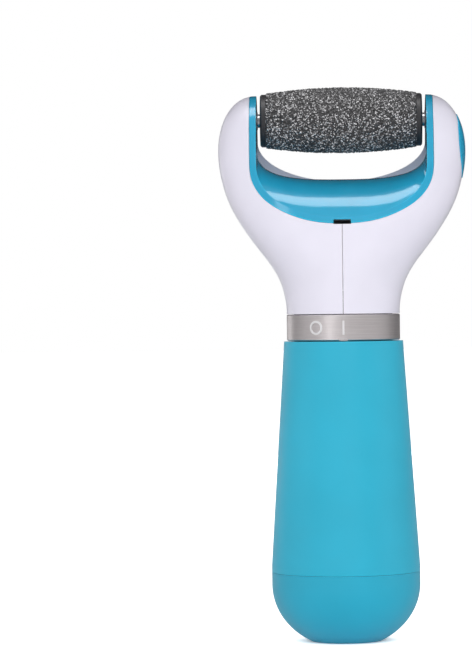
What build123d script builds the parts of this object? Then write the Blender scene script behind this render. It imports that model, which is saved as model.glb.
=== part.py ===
from build123d import *

import math
import os

# Electric callus remover: a battery handle, a rotary switch ring and a forked head that carries a driven
# abrasive roller between its two arms. Millimetres. +Z runs up the handle to the roller, +X towards the arm
# with the release button, -Y towards the user's view of the switch marks. The origin is the centre of the
# flat base.

# ---- driving dimensions ------------------------------------------------------------------------------------
WALL = 1.6  # moulded shell thickness of the head
GAP = 0.1  # gap between neighbouring moulded pieces
RUN = 0.05  # radial clearance of a shaft in its bearing
PRESS = 0.02  # radial play left where two pieces are pressed together
FAR = 60.0  # reach of cutting blocks, well past the object's sides

CAP_R = 22.8  # widest radius of the handle, at the battery cover's seam
CAP_SEAM_Z = 21.3  # seam between battery cover and handle
CAP_DOME_Z = 17.5  # the cover is straight above this height and domed below it
CAP_DOME_H = 19.87  # height of the dome's ellipse before the flat base cuts it
HANDLE_TOP_R = 18.3
HANDLE_TOP_Z = 92.1
HANDLE_WALL = 1.9

RING_R = 17.4
RING_Z0 = 92.35
RING_Z1 = 100.35
TUBE_R = 15.1  # neck tube that the switch ring turns on
TUBE_BORE_R = 13.3

HEAD_Z0 = 100.5  # lower edge of the white head
HEAD_WIDE_Z = 150.3  # height of the head's widest section
HEAD_TOP_Z = 167.6
SHOULDER_X = 26.3  # the arms' rounded shoulders start here
SHOULDER_RX = 11.6
SHOULDER_RZ = 17.4
SEAM_GAP = 0.06  # half of the parting line between the two head shells

FORK_HALF = 26.0  # half of the clear width between the liner's walls
LINER = 2.0  # thickness of the coloured fork liner
RIM_Y = 11.0  # behind this plane the white shells form the rear rim of the fork

ROLLER_Z = 160.0
ROLLER_MID_R = 10.2
ROLLER_END_R = 8.4
ROLLER_GRIT_HALF = 23.1  # half length of the abrasive sleeve
ROLLER_HALF = 24.85  # half length over the end caps
STUB_R = 2.1  # spindle and idle pin

BUTTON_Z = 151.7
BUTTON_HALF_H = 9.8
BUTTON_HALF_W = 7.6
BUTTON_PROUD = 0.2
BUTTON_INNER_X = 30.0  # the button's cutting prism runs from here outward, past the arm's surface

ROCKER_X = 31.0  # rocker pivot
ROCKER_Z = 151.0
PUSH_Z = 144.5  # where the button's post meets the rocker

MOTOR_Z = 131.0
MOTOR_R = 10.2
MOTOR_FLAT = 7.6  # half height over the can's flats
MOTOR_X0 = -14.0
MOTOR_X1 = 18.0

MODULE = 0.5
GEAR_W = 1.8
PLANE_A = -26.9  # centre plane of the pinion and the compound gear's large wheel
PLANE_B = -29.2  # centre plane of the compound gear's small wheel, the idler and the spindle gear
PINION_TEETH = 10
COMPOUND_LARGE_TEETH = 22
COMPOUND_SMALL_TEETH = 14
IDLER_TEETH = 32
SPINDLE_TEETH = 13
COMPOUND_RISE = 6.9  # height of the compound gear's axis above the motor's
PRESSURE_ANGLE = math.radians(25)
ADDENDUM = 0.8  # stub teeth, in modules
DEDENDUM = 1.1
BACKLASH = 0.09
FLANK_STEPS = 4  # straight pieces along each side of a tooth
PIN_R = 1.0
GEAR_HUB_R = 2.0

CELL_R = 7.1
CELL_LENGTH = 49.2
CELL_NUB = 1.3
CELL_NUB_R = 2.75
CELL_EDGE_R = 0.5
CELL_CENTRE = 7.4  # cell axes sit at plus and minus this in X and Y
CELL_Z0 = 10.7
HOLDER_R = 18.15


# ---- helpers -----------------------------------------------------------------------------------------------
def smooth_path(knots, at):
    """Cubic Hermite curve through (position, value) knots, level at both ends."""
    slopes = [0.0]
    for (z0, v0), (_, _), (z2, v2) in zip(knots, knots[1:], knots[2:]):
        slopes.append((v2 - v0) / (z2 - z0))
    slopes.append(0.0)
    for i, ((z0, v0), (z1, v1)) in enumerate(zip(knots, knots[1:])):
        if at <= z1 or i == len(knots) - 2:
            h = z1 - z0
            t = min(max((at - z0) / h, 0.0), 1.0)
            return (
                (2 * t**3 - 3 * t**2 + 1) * v0
                + (t**3 - 2 * t**2 + t) * h * slopes[i]
                + (3 * t**2 - 2 * t**3) * v1
                + (t**3 - t**2) * h * slopes[i + 1]
            )


def superquarter(share, power):
    """Height, 0 to 1, of a unit superellipse at a share of its half width."""
    return max(0.0, 1 - abs(share) ** power) ** (1 / power)


def rod_x(radius, x0, x1, y=0.0, z=0.0):
    """Cylinder along X between x0 and x1."""
    low, high = sorted((x0, x1))
    return Pos((low + high) / 2, y, z) * (Rot(0, 90, 0) * Cylinder(radius, high - low))


def rod_y(radius, y0, y1, x=0.0, z=0.0):
    """Cylinder along Y between y0 and y1."""
    return Pos(x, (y0 + y1) / 2, z) * (Rot(90, 0, 0) * Cylinder(radius, y1 - y0))


def rod_z(radius, z0, z1, x=0.0, y=0.0):
    """Cylinder along Z between z0 and z1."""
    return Pos(x, y, (z0 + z1) / 2) * Cylinder(radius, z1 - z0)


def tube_z(outer, inner, z0, z1):
    """Hollow cylinder about the Z axis."""
    return rod_z(outer, z0, z1) - rod_z(inner, z0 - 1, z1 + 1)


def block(x0, x1, y0, y1, z0, z1):
    """Box between two corners."""
    return Pos((x0 + x1) / 2, (y0 + y1) / 2, (z0 + z1) / 2) * Box(x1 - x0, y1 - y0, z1 - z0)


def turned(points):
    """Solid of revolution about Z from a closed outline of (radius, height) corners."""
    outline = Polyline(*[(r, 0, z) for r, z in points], close=True)
    return revolve(make_face(outline), Axis.Z)


def coil(radius, wire, length, turns, origin, direction):
    """Compression spring of round wire, from origin along direction."""
    path = Helix(pitch=length / turns, height=length, radius=radius)
    section = Plane(origin=path @ 0, z_dir=path % 0) * Circle(wire)
    spring = sweep(section, path=path)
    return Plane(origin=origin, z_dir=direction) * spring


def sector(inner, outer, z0, z1, start, end):
    """Part of a flat ring about Z between two angles in degrees."""
    mid = (start + end) / 2

    def at(radius, angle):
        return (radius * math.cos(math.radians(angle)), radius * math.sin(math.radians(angle)))

    edges = [
        ThreePointArc(at(inner, start), at(inner, mid), at(inner, end)),
        Line(at(inner, end), at(outer, end)),
        ThreePointArc(at(outer, end), at(outer, mid), at(outer, start)),
        Line(at(outer, start), at(inner, start)),
    ]
    return Pos(0, 0, z0) * extrude(make_face(edges), z1 - z0)


# ---- gears -------------------------------------------------------------------------------------------------
def gear_outline(teeth):
    """Corners of a stub-tooth involute gear, with one tooth centred on the local X axis."""
    pitch_r = MODULE * teeth / 2
    base_r = pitch_r * math.cos(PRESSURE_ANGLE)
    tip_r = pitch_r + ADDENDUM * MODULE
    root_r = pitch_r - DEDENDUM * MODULE
    half_at_pitch = (math.pi * MODULE / 2 - BACKLASH) / (2 * pitch_r)

    def half_angle(radius):
        turn = math.acos(min(1.0, base_r / radius))
        at_pitch = math.tan(PRESSURE_ANGLE) - PRESSURE_ANGLE
        return half_at_pitch + at_pitch - (math.tan(turn) - turn)

    start_r = max(base_r, root_r + PRESS)
    radii = [start_r + (tip_r - start_r) * k / FLANK_STEPS for k in range(FLANK_STEPS + 1)]
    flank = [(root_r, half_angle(start_r))] + [(r, half_angle(r)) for r in radii]
    corners = []
    for tooth in range(teeth):
        centre = 2 * math.pi * tooth / teeth
        for r, a in flank:
            corners.append((r, centre - a))
        for r, a in reversed(flank):
            corners.append((r, centre + a))
    return [(r * math.cos(a), r * math.sin(a)) for r, a in corners]


def gear(teeth, plane_x, y, z, phase, bore):
    """Spur gear about an X axis. phase is the angle of one tooth's centre, from +Y towards +Z, in radians."""
    blank = extrude(make_face(Polyline(*gear_outline(teeth), close=True)), GEAR_W)
    blank -= Pos(0, 0, GEAR_W / 2) * Cylinder(bore, GEAR_W * 2)
    seat = Plane(origin=(plane_x - GEAR_W / 2, y, z), x_dir=(0, 1, 0), z_dir=(1, 0, 0))
    return seat * (Rot(0, 0, math.degrees(phase)) * blank)


def third_corner(a, b, from_a, from_b, side):
    """Point at the two given distances from points a and b, on the side of +1 or -1."""
    span = math.dist(a, b)
    along = (from_a**2 - from_b**2 + span**2) / (2 * span)
    off = side * math.sqrt(from_a**2 - along**2)
    uy, uz = (b[0] - a[0]) / span, (b[1] - a[1]) / span
    return (a[0] + uy * along - uz * off, a[1] + uz * along + uy * off)


def meshing_phase(driver_teeth, driver_phase, driven_teeth, driver, driven):
    """Phase of the driven gear that puts one of its gaps on the driver's tooth along the centre line."""
    line = math.atan2(driven[1] - driver[1], driven[0] - driver[0])
    ahead = (line - driver_phase) * driver_teeth
    return line + math.pi + (ahead + math.pi) / driven_teeth


MOTOR_YZ = (0.0, MOTOR_Z)
SPINDLE_YZ = (0.0, ROLLER_Z)
PINION_TO_COMPOUND = MODULE * (PINION_TEETH + COMPOUND_LARGE_TEETH) / 2
COMPOUND_YZ = (math.sqrt(PINION_TO_COMPOUND**2 - COMPOUND_RISE**2), MOTOR_Z + COMPOUND_RISE)
IDLER_YZ = third_corner(
    COMPOUND_YZ,
    SPINDLE_YZ,
    MODULE * (COMPOUND_SMALL_TEETH + IDLER_TEETH) / 2,
    MODULE * (IDLER_TEETH + SPINDLE_TEETH) / 2,
    +1,
)
PINION_PHASE = 0.0
COMPOUND_PHASE = meshing_phase(PINION_TEETH, PINION_PHASE, COMPOUND_LARGE_TEETH, MOTOR_YZ, COMPOUND_YZ)
IDLER_PHASE = meshing_phase(COMPOUND_SMALL_TEETH, COMPOUND_PHASE, IDLER_TEETH, COMPOUND_YZ, IDLER_YZ)
SPINDLE_PHASE = meshing_phase(IDLER_TEETH, IDLER_PHASE, SPINDLE_TEETH, IDLER_YZ, SPINDLE_YZ)


# ---- head envelope -----------------------------------------------------------------------------------------
HEAD_WIDTHS = [(HEAD_Z0, RING_R), (107.0, 18.1), (114.0, 21.0), (124.4, 28.6), (135.5, 35.0)]
HEAD_WIDTHS.append((HEAD_WIDE_Z, 37.9))
HEAD_DEPTHS = [(HEAD_Z0, RING_R), (128.0, 18.2), (146.0, 17.5)]
HEAD_POWERS = [(HEAD_Z0, 2.0), (128.0, 2.6)]  # squareness of the horizontal sections
HEAD_ROUND_Z = 146.0  # above this height the arms round over, seen from the side
ROUND_POWER = 2.6
SHOULDER_POWER = 2.1
SECTION_POINTS = 20
SECTION_HEIGHTS = [HEAD_Z0, 104, 108, 113, 118, 124, 130, 137, 144, 150, 155, 159.5, 163, 165.6, HEAD_TOP_Z]


def head_half_width(z):
    """Half width of the head in the front view: a flared neck, then two rounded shoulders."""
    if z <= HEAD_WIDE_Z:
        return smooth_path(HEAD_WIDTHS, z)
    return SHOULDER_X + SHOULDER_RX * superquarter((z - HEAD_WIDE_Z) / SHOULDER_RZ, SHOULDER_POWER)


def head_half_depth(z):
    """Half depth of the head in the side view."""
    if z <= HEAD_ROUND_Z:
        return smooth_path(HEAD_DEPTHS, z)
    crown = HEAD_TOP_Z + GAP - HEAD_ROUND_Z
    return HEAD_DEPTHS[-1][1] * superquarter((z - HEAD_ROUND_Z) / crown, ROUND_POWER)


def rounded(turn, power):
    """Cosine and sine of an angle, pushed out onto a unit superellipse."""
    c, s = math.cos(turn), math.sin(turn)
    reach = (abs(c) ** power + abs(s) ** power) ** (-1 / power)
    return reach * c, reach * s


def head_section(z, inset):
    """One horizontal section of the head: a circle at the neck that grows squarer towards the fork."""
    power = smooth_path(HEAD_POWERS, z)
    a, b = head_half_width(z) - inset, head_half_depth(z) - inset
    points = []
    for k in range(SECTION_POINTS):
        c, s = rounded(2 * math.pi * k / SECTION_POINTS, power)
        points.append((a * c, b * s, 0))
    return Pos(0, 0, z) * make_face(Spline(*points, periodic=True))


def head_block(inset=0.0):
    """Solid with the head's outer shape, or that shape pulled in by inset for its hollow."""
    sections = []
    for z in SECTION_HEIGHTS:
        lowered = HEAD_Z0 + (z - HEAD_Z0) * (HEAD_TOP_Z - inset - HEAD_Z0) / (HEAD_TOP_Z - HEAD_Z0)
        section = head_section(z, inset)
        sections.append(Pos(0, 0, lowered - z) * section)
    return loft(sections)


# ---- fork opening ------------------------------------------------------------------------------------------
# The opening's floor is a saddle. Its section along X is a U-shaped superellipse, and across the depth it
# rises in an arch from the front edge to a crest over the motor and falls again to the rear.
ARCH_REACH = 0.5  # how far the arch's ends lie outside the head's surface
EDGE_Z = 125.5  # floor of the saddle at its front and rear ends
EDGE_CORNER_Z = 145.0  # its side walls are straight above this height at the ends
CREST_Z = 141.8  # floor of the saddle at its crest
CREST_CORNER_Z = 152.0
EDGE_POWER = 2.3  # squareness of the saddle's corners at its ends
CREST_POWER = 3.0  # and at its crest
ARCH_DEPTH = 18.4  # the arch's half depth at the middle of the head
ARCH_WIDTH = 36.0  # half width over which that depth falls away
ARCH_POWER = 2.6
ACROSS_STEPS = 18
ALONG_STEPS = 10
RIM_CORNER_Z = 154.0  # the rear rim's opening has straight sides above this height
RIM_POWER = 2.0
RIM_STEPS = 12

def fork_saddle(grow):
    """Saddle surface of the fork, lowered and widened by grow."""
    half = FORK_HALF + grow
    rows = []
    for i in range(ACROSS_STEPS + 1):
        across = math.pi * i / ACROSS_STEPS
        row = []
        for j in range(ALONG_STEPS + 1):
            tilt = -math.pi / 2 + math.pi * j / ALONG_STEPS
            rise = math.cos(tilt)
            power = EDGE_POWER + (CREST_POWER - EDGE_POWER) * rise
            centre_z = EDGE_CORNER_Z + (CREST_CORNER_Z - EDGE_CORNER_Z) * rise
            floor_z = EDGE_Z + (CREST_Z - EDGE_Z) * rise
            drop = centre_z - floor_z + grow
            c, s = rounded(across, power)
            x = -half * c
            z = centre_z - drop * s
            depth = ARCH_DEPTH * superquarter(x / ARCH_WIDTH, ARCH_POWER) + ARCH_REACH
            row.append(Vector(x, depth * math.sin(tilt), z))
        rows.append(row)
    return Face.make_surface_from_array_of_points(rows, tol=0.02)


def fork_opening(grow=0.0):
    """Everything above the saddle, between the liner's walls."""
    return Solid.extrude(fork_saddle(grow), Vector(0, 0, FAR))


def in_front_of(shape, y):
    """The part of shape in front of the plane at y."""
    return shape & block(-FAR, FAR, -FAR, y, 0, 4 * FAR)


def behind(shape, y):
    """The part of shape behind the plane at y."""
    return shape & block(-FAR, FAR, y, FAR, 0, 4 * FAR)


def button_prism(grow):
    """Oval prism along X, the button's outline grown all round."""
    outline = Plane(origin=(BUTTON_INNER_X, 0, BUTTON_Z), x_dir=(0, 1, 0), z_dir=(1, 0, 0))
    return extrude(outline * Ellipse(BUTTON_HALF_W + grow, BUTTON_HALF_H + grow), FAR)


def rear_rim_cut():
    """U-shaped opening through the rear wall of the head, level with the saddle's crest at its middle."""
    points = []
    for k in range(RIM_STEPS + 1):
        c, s = rounded(math.pi * k / RIM_STEPS, RIM_POWER)
        points.append(((FORK_HALF + GAP) * c, RIM_CORNER_Z - (RIM_CORNER_Z - CREST_Z) * s))
    plane = Plane(origin=(0, RIM_Y, 0), x_dir=(1, 0, 0), z_dir=(0, -1, 0))
    curve = Spline(*points)
    top_z = HEAD_TOP_Z + WALL
    top = Polyline(points[-1], (points[-1][0], top_z), (points[0][0], top_z), points[0])
    return extrude(plane * make_face([curve, top]), -FAR)


SEAM_LIP = 0.8  # thickness of the lip that backs the parting line
SEAM_REACH = 1.6  # how far that lip reaches to either side of it
SEAM_LIP_Z0 = 107.4
SEAM_LIP_Z1 = 129.0
ENVELOPE = head_block()
CAVITY = head_block(WALL)
ROOM = head_block(WALL + GAP)  # space left for pieces that lie against the shells' inside
INNER_ROOM = head_block(WALL + GAP + SEAM_LIP)

# ---- head shells, liner and their screws -------------------------------------------------------------------
SCREW_Y = 9.0
SCREW_Z = 157.0
SCREW_R = 0.85
SCREW_HEAD_R = 1.7
SCREW_TIP_X = 31.0
SPINDLE_END_R = 1.0  # thin outer journal of the spindle
BOSS_R = 2.0
SCREW_BOSS_R = 1.5
PIN_HOLE_X = -33.2  # bottom of the blind holes for the idler's pin and the spindle
COMPOUND_HOLE_X = -32.7
PIN_BOSS_X = -30.6
SPINDLE_BOSS_X = -31.3
SCREW_BOSS_X = 28.15
SCREW_HOLE_X = 31.2
TUBE_FLANGE_Z = 104.0  # head flange of the neck tube; the shells' inner rib hooks under it
SCREW_PLACES = [(side, y) for side in (-1, 1) for y in (-SCREW_Y, SCREW_Y)]


def boss(outer, bore, x0, y, z, hole_to):
    """Boss on the head shell's inside, from x0 outward, with a blind hole as far as hole_to."""
    side = math.copysign(1, x0)
    solid = rod_x(outer, x0, FAR * side, y, z) & ENVELOPE
    return solid, rod_x(bore, x0 - side, hole_to, y, z)


def seam_lip():
    """Lip of the left shell that backs the parting line from inside, below the fork."""
    root = block(-SEAM_REACH, -SEAM_GAP, -FAR, FAR, SEAM_LIP_Z0, SEAM_LIP_Z1)
    reach = block(-SEAM_REACH, SEAM_REACH, -FAR, FAR, SEAM_LIP_Z0, SEAM_LIP_Z1)
    return ((ENVELOPE & root) + (ROOM & reach)) - INNER_ROOM


def head_shells():
    """Left and right halves of the white head, parted at x = 0."""
    openings = in_front_of(fork_opening(LINER + GAP), RIM_Y)
    openings += block(-NOTCH_HALF, NOTCH_HALF, -FAR, -NOTCH_DEPTH_Y, NOTCH_Z0, RIM_CORNER_Z)
    shell = ENVELOPE - CAVITY
    rib = ENVELOPE & rod_z(FAR, TUBE_FLANGE_Z - 1.7, TUBE_FLANGE_Z - GAP)
    shell += rib - rod_z(TUBE_R + GAP, HEAD_Z0 - 1, TUBE_FLANGE_Z)
    shell -= button_prism(BUTTON_CLEAR)
    bosses = [
        boss(SCREW_BOSS_R, SCREW_R + RUN, SCREW_BOSS_X * side, y, SCREW_Z, SCREW_HOLE_X * side)
        for side, y in SCREW_PLACES
    ]
    bosses.append(boss(BOSS_R, PIN_R + PRESS, PIN_BOSS_X, *IDLER_YZ, PIN_HOLE_X))
    bosses.append(boss(BOSS_R, PIN_R + PRESS, PIN_BOSS_X, *COMPOUND_YZ, COMPOUND_HOLE_X))
    bosses.append(boss(BOSS_R, SPINDLE_END_R + RUN, SPINDLE_BOSS_X, *SPINDLE_YZ, PIN_HOLE_X))
    shell -= rear_rim_cut()
    for solid, hole in bosses:
        shell += solid
        shell -= hole
    left = shell & block(-FAR, -SEAM_GAP, -FAR, FAR, 0, 4 * FAR)
    right = shell & block(SEAM_GAP, FAR, -FAR, FAR, 0, 4 * FAR)
    return (left + seam_lip()) - openings, right - openings


BUSH_R = 2.6
BUSH_FLANGE_R = 2.75
BUSH_FLANGE = 0.35  # how far the flange stands into the fork
NOTCH_HALF = 2.65  # snap-fit notch in the middle of the liner's front lip
NOTCH_Z0 = 127.7
NOTCH_TOP = 129.1
NOTCH_DEPTH_Y = 14.0  # the notch runs inward as far as this
BUTTON_CLEAR = 0.15
EAR_Y0 = 4.3
EAR_Y1 = 5.8
PIVOT_R = 0.8
SPRING_Y = 3.8
SPRING_Z = 147.0
LINER_X = FORK_HALF + LINER
EAR_BEYOND = 1.15  # the ears end this far beyond the pivot
EAR_HALF_H = 1.8
AXLE_END_X = -26.65  # inner end of the idler's pin, inside the liner's wall
SCREW_SEAT_X = 27.0
SCREW_HEAD_X = 26.1
SLOT_X = 26.5  # floor of the cross recess
SLOT_HALF_LENGTH = 1.2
SLOT_HALF_WIDTH = 0.25


def fork_liner():
    """Glossy liner of the fork: the saddle, its two side walls, and the ears of the release rocker."""
    outer = fork_opening(LINER)
    room = in_front_of(ENVELOPE, RIM_Y) + behind(ROOM, RIM_Y)
    liner = (room & outer) - fork_opening()
    liner -= block(-NOTCH_HALF, NOTCH_HALF, -FAR, -NOTCH_DEPTH_Y, NOTCH_Z0 - 2 * LINER, NOTCH_TOP)
    liner -= rod_x(BUSH_R + PRESS, -LINER_X - 1, LINER_X + 1, 0, ROLLER_Z)
    low, high = ROCKER_Z - EAR_HALF_H, ROCKER_Z + EAR_HALF_H
    ears = block(LINER_X - GAP, ROCKER_X + EAR_BEYOND, EAR_Y0, EAR_Y1, low, high)
    ears += mirror(ears, Plane.XZ)
    ears -= rod_y(PIVOT_R + PRESS, -EAR_Y1 - 1, EAR_Y1 + 1, ROCKER_X, ROCKER_Z)
    liner += ears
    liner -= rod_x(PIN_R + PRESS, -LINER_X - 1, AXLE_END_X + RUN, *IDLER_YZ)
    for side, y in SCREW_PLACES:
        liner -= rod_x(SCREW_HEAD_R + RUN, (FORK_HALF - GAP) * side, (SCREW_SEAT_X + RUN) * side, y, SCREW_Z)
        liner -= rod_x(SCREW_R + RUN, FORK_HALF * side, (LINER_X + 1) * side, y, SCREW_Z)
    return liner


def liner_screws():
    """Four self-tapping screws that tie the liner to the two head shells."""
    screws = []
    for side, y in SCREW_PLACES:
        screw = rod_x(SCREW_HEAD_R, SCREW_HEAD_X * side, SCREW_SEAT_X * side, y, SCREW_Z)
        screw += rod_x(SCREW_R, (SCREW_SEAT_X - GAP) * side, SCREW_TIP_X * side, y, SCREW_Z)
        low, high = sorted((FORK_HALF * side, SLOT_X * side))
        for half_y, half_z in ((SLOT_HALF_WIDTH, SLOT_HALF_LENGTH), (SLOT_HALF_LENGTH, SLOT_HALF_WIDTH)):
            screw -= block(low, high, y - half_y, y + half_y, SCREW_Z - half_z, SCREW_Z + half_z)
        screws.append(screw)
    return Compound(children=screws)


def flanged_bush(side):
    """Plain bearing pressed into one wall of the liner, with a flange on the roller's side."""
    bush = rod_x(BUSH_R, (FORK_HALF - BUSH_FLANGE) * side, (LINER_X + GAP) * side, 0, ROLLER_Z)
    bush += rod_x(BUSH_FLANGE_R, (FORK_HALF - BUSH_FLANGE) * side, (FORK_HALF - RUN) * side, 0, ROLLER_Z)
    return bush - rod_x(STUB_R + RUN, (FORK_HALF - 1) * side, (LINER_X + 1) * side, 0, ROLLER_Z)


# ---- roller and its drive ----------------------------------------------------------------------------------
CORE_R = 7.2
CORE_BORE_R = 6.0
CAP_PLUG = 3.0  # how far each end cap's plug enters the core
END_CAP_R = 8.1
END_CAP_CHAMFER = 0.45
CAP_SEAT = 0.03  # gap between end cap and sleeve
HEX_ACROSS = 3.0  # across flats of the spindle's driving dog
DOG_TIP_X = -21.9
PIN_TIP_X = 22.95


def abrasive_sleeve():
    """Barrel-shaped abrasive sleeve, widest at its middle."""
    barrel = [
        Line((-ROLLER_GRIT_HALF, CORE_R), (-ROLLER_GRIT_HALF, ROLLER_END_R)),
        ThreePointArc((-ROLLER_GRIT_HALF, ROLLER_END_R), (0, ROLLER_MID_R), (ROLLER_GRIT_HALF, ROLLER_END_R)),
        Line((ROLLER_GRIT_HALF, ROLLER_END_R), (ROLLER_GRIT_HALF, CORE_R)),
        Line((ROLLER_GRIT_HALF, CORE_R), (-ROLLER_GRIT_HALF, CORE_R)),
    ]
    return Pos(0, 0, ROLLER_Z) * revolve(make_face(barrel), Axis.X)


def roller_core():
    """Stiff plastic tube under the abrasive."""
    core = rod_x(CORE_R - PRESS, -ROLLER_GRIT_HALF, ROLLER_GRIT_HALF, 0, ROLLER_Z)
    return core - rod_x(CORE_BORE_R, -FAR, FAR, 0, ROLLER_Z)


def end_cap(side):
    """End cap of the roller, before its driving or bearing hole is cut."""
    inner, outer = ROLLER_GRIT_HALF + CAP_SEAT, ROLLER_HALF
    cap = rod_x(END_CAP_R, inner * side, outer * side, 0, ROLLER_Z)
    rims = cap.edges().filter_by(GeomType.CIRCLE).sort_by(Axis.X)
    cap = chamfer(rims[-1 if side > 0 else 0], END_CAP_CHAMFER)
    return cap + rod_x(CORE_BORE_R - PRESS, (inner - CAP_PLUG) * side, inner * side, 0, ROLLER_Z)


def hexagon(across, x0, x1):
    """Hexagonal bar along X on the roller's axis."""
    plane = Plane(origin=(x0, 0, ROLLER_Z), x_dir=(0, 1, 0), z_dir=(1, 0, 0))
    return extrude(plane * RegularPolygon(across / 2, 6, major_radius=False), x1 - x0)


def drive_end_cap():
    """Left end cap, with a hexagonal socket for the spindle's dog."""
    return end_cap(-1) - hexagon(HEX_ACROSS + GAP, -FORK_HALF, DOG_TIP_X + 2 * GAP)


def idle_end_cap():
    """Right end cap, with the bearing hole for the idle pin."""
    return end_cap(1) - rod_x(STUB_R + RUN, PIN_TIP_X - 2 * GAP, FORK_HALF, 0, ROLLER_Z)


SPINDLE_JOURNAL_R = 1.5
COLLAR_X = -24.9  # the spindle's bearing collar starts here and ends at the gear's seat
SEAT_X = -28.1
JOURNAL_X = -30.8
SPINDLE_TIP_X = -33.0


def drive_spindle():
    """Stepped spindle: hexagonal dog, bearing collar, gear seat and outer journal."""
    spindle = hexagon(HEX_ACROSS, COLLAR_X - GAP, DOG_TIP_X)
    spindle += rod_x(STUB_R, SEAT_X - RUN, COLLAR_X, 0, ROLLER_Z)
    spindle += rod_x(SPINDLE_JOURNAL_R, JOURNAL_X - GAP, SEAT_X, 0, ROLLER_Z)
    return spindle + rod_x(SPINDLE_END_R, SPINDLE_TIP_X, JOURNAL_X, 0, ROLLER_Z)


def compound_gear():
    """Two spur wheels moulded on one hub."""
    large = gear(COMPOUND_LARGE_TEETH, PLANE_A, *COMPOUND_YZ, COMPOUND_PHASE, PIN_R + RUN)
    small = gear(COMPOUND_SMALL_TEETH, PLANE_B, *COMPOUND_YZ, COMPOUND_PHASE, PIN_R + RUN)
    hub = rod_x(GEAR_HUB_R, PLANE_B, PLANE_A, *COMPOUND_YZ)
    hub -= rod_x(PIN_R + RUN, PLANE_B - 1, PLANE_A + 1, *COMPOUND_YZ)
    return large + small + hub


def gear_axles():
    """Fixed steel pins of the compound gear and the idler."""
    compound_pin = rod_x(PIN_R, COMPOUND_HOLE_X + 2 * GAP, PLATE_X0, *COMPOUND_YZ)
    idler_pin = rod_x(PIN_R, PIN_HOLE_X + 2 * GAP, AXLE_END_X, *IDLER_YZ)
    return Compound(children=[compound_pin, idler_pin])


# ---- motor -------------------------------------------------------------------------------------------------
CAN_WALL = 0.8
END_BELL = 2.0
PLATE_X0 = -25.2
PLATE_X1 = -24.2
POST_Y = 6.0
POST_Z = MOTOR_Z - 4.5
GEAR_POST_R = 1.2
MOTOR_BOSS_R = 3.0
TERMINAL_Y = 5.5
TERMINAL_HALF = 1.0
TERMINAL_THICK = 0.15  # half thickness
ARMATURE_R = 6.2
ARMATURE_HALF = 9.0
COMMUTATOR_R = 2.5
COMMUTATOR_X1 = 14.0
POLES = 3


def motor_section(grow=0.0):
    """Cross section of the motor: a circle with two flats."""
    wide = 2 * (MOTOR_R + grow)
    return Circle(MOTOR_R + grow) & Rectangle(wide, 2 * (MOTOR_FLAT + grow))


def motor_prism(x0, x1, grow=0.0):
    """The motor's outline between two planes."""
    plane = Plane(origin=(x0, 0, MOTOR_Z), x_dir=(0, 1, 0), z_dir=(1, 0, 0))
    return extrude(plane * motor_section(grow), x1 - x0)


def motor_can():
    """Steel can with its front bearing boss."""
    can = motor_prism(MOTOR_X0, MOTOR_X1 - END_BELL)
    can -= motor_prism(MOTOR_X0 + CAN_WALL, MOTOR_X1, -CAN_WALL)
    can += rod_x(MOTOR_BOSS_R, MOTOR_X0 - 1.2, MOTOR_X0 + GAP, 0, MOTOR_Z)
    return can - rod_x(PIN_R + RUN, MOTOR_X0 - 2, 0, 0, MOTOR_Z)


def motor_end_bell():
    """Moulded end bell that closes the can and carries the terminals."""
    bell = motor_prism(MOTOR_X1 - END_BELL + PRESS, MOTOR_X1)
    bell += rod_x(MOTOR_BOSS_R, MOTOR_X1 - GAP, MOTOR_X1 + 0.8, 0, MOTOR_Z)
    bell -= rod_x(PIN_R + RUN, MOTOR_X1 - 3, MOTOR_X1 + 0.4, 0, MOTOR_Z)
    half_y, half_z = TERMINAL_HALF + RUN, TERMINAL_THICK + RUN
    for y in (-TERMINAL_Y, TERMINAL_Y):
        bell -= block(MOTOR_X1 - 3, MOTOR_X1 + 1, y - half_y, y + half_y, MOTOR_Z - half_z, MOTOR_Z + half_z)
    return bell


def motor_terminals():
    """Two brass tabs through the end bell."""
    tabs = []
    low, high = MOTOR_Z - TERMINAL_THICK, MOTOR_Z + TERMINAL_THICK
    for y in (-TERMINAL_Y, TERMINAL_Y):
        tabs.append(block(MOTOR_X1 - 1.5, MOTOR_X1 + 2.2, y - TERMINAL_HALF, y + TERMINAL_HALF, low, high))
    return Compound(children=tabs)


def motor_shaft():
    """Shaft, from the pinion to the rear bearing."""
    return rod_x(PIN_R, PLANE_A - GEAR_W / 2 - 0.4, MOTOR_X1 + 0.2, 0, MOTOR_Z)


def armature():
    """Wound rotor on the motor shaft, with three poles."""
    core = rod_x(ARMATURE_R, -ARMATURE_HALF, ARMATURE_HALF, 0, MOTOR_Z)
    slot = block(-ARMATURE_HALF - 1, ARMATURE_HALF + 1, -0.7, 0.7, 3.5, ARMATURE_R + 1)
    for pole in range(POLES):
        core -= Pos(0, 0, MOTOR_Z) * (Rot(360 / POLES * pole, 0, 0) * slot)
    commutator = rod_x(COMMUTATOR_R, ARMATURE_HALF - GAP, COMMUTATOR_X1, 0, MOTOR_Z)
    return core + commutator - rod_x(PIN_R + PRESS, MOTOR_X0, MOTOR_X1, 0, MOTOR_Z)


def gear_plate():
    """Moulded plate that carries the gear axle, on two posts from the motor's front."""
    plate = block(PLATE_X0, PLATE_X1, -7.2, 8.0, MOTOR_Z - 6.0, MOTOR_Z + 10.3)
    plate -= rod_x(1.6, PLATE_X0 - 1, PLATE_X1 + 1, 0, MOTOR_Z)
    plate -= rod_x(PIN_R + PRESS, PLATE_X0 - 1, PLATE_X1 + 1, *COMPOUND_YZ)
    for y in (-POST_Y, POST_Y):
        plate += rod_x(GEAR_POST_R, PLATE_X1 - 2 * GAP, MOTOR_X0 - RUN, y, POST_Z)
    return plate


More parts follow.
